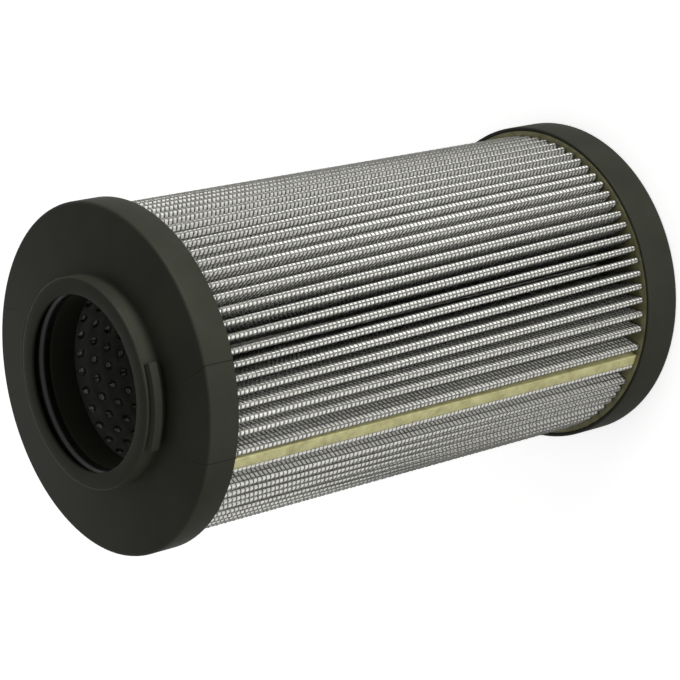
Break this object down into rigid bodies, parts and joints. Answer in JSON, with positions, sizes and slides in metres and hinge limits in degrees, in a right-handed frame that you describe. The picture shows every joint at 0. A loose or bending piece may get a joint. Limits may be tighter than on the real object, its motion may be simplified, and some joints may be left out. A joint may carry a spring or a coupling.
{
  "type": "hydraulic filter element",
  "caption": "Pleated cartridge filter element in woven wire cloth, with moulded end caps, an adhesive side seam, a perforated core tube and a bayonet collar.",
  "frame": {"origin": "centre of the closed end cap's base", "axes": "+Z along the element's axis towards the collar of the open end cap; +X through the middle of one bayonet lug, with the side seam 19.7 degrees below it, towards -Y"},
  "size_m": [0.094, 0.094, 0.1755],
  "materials": {
    "cap_nylon": "fine moulded texture, near-black with a faint olive cast",
    "seal_rubber": "smooth, slightly oiled",
    "tube_steel": "dark satin coating",
    "outer_wire": "bright woven wire cloth, plain weave",
    "glass_fibre": "matt non-woven fibre web",
    "inner_wire": "fine woven wire cloth",
    "seam_adhesive": "smooth cured resin, pale olive",
    "potting_adhesive": "smooth cured resin, olive"
  },
  "bodies": {
    "root": {"open_end_cap": "cap_nylon", "closed_end_cap": "cap_nylon", "bore_o_ring": "seal_rubber", "core_tube": "tube_steel", "outer_wire_mesh": "outer_wire", "filter_media": "glass_fibre", "inner_wire_mesh": "inner_wire", "side_seam": "seam_adhesive", "closed_end_potting": "potting_adhesive", "open_end_potting": "potting_adhesive"}
  },
  "joints": []
}
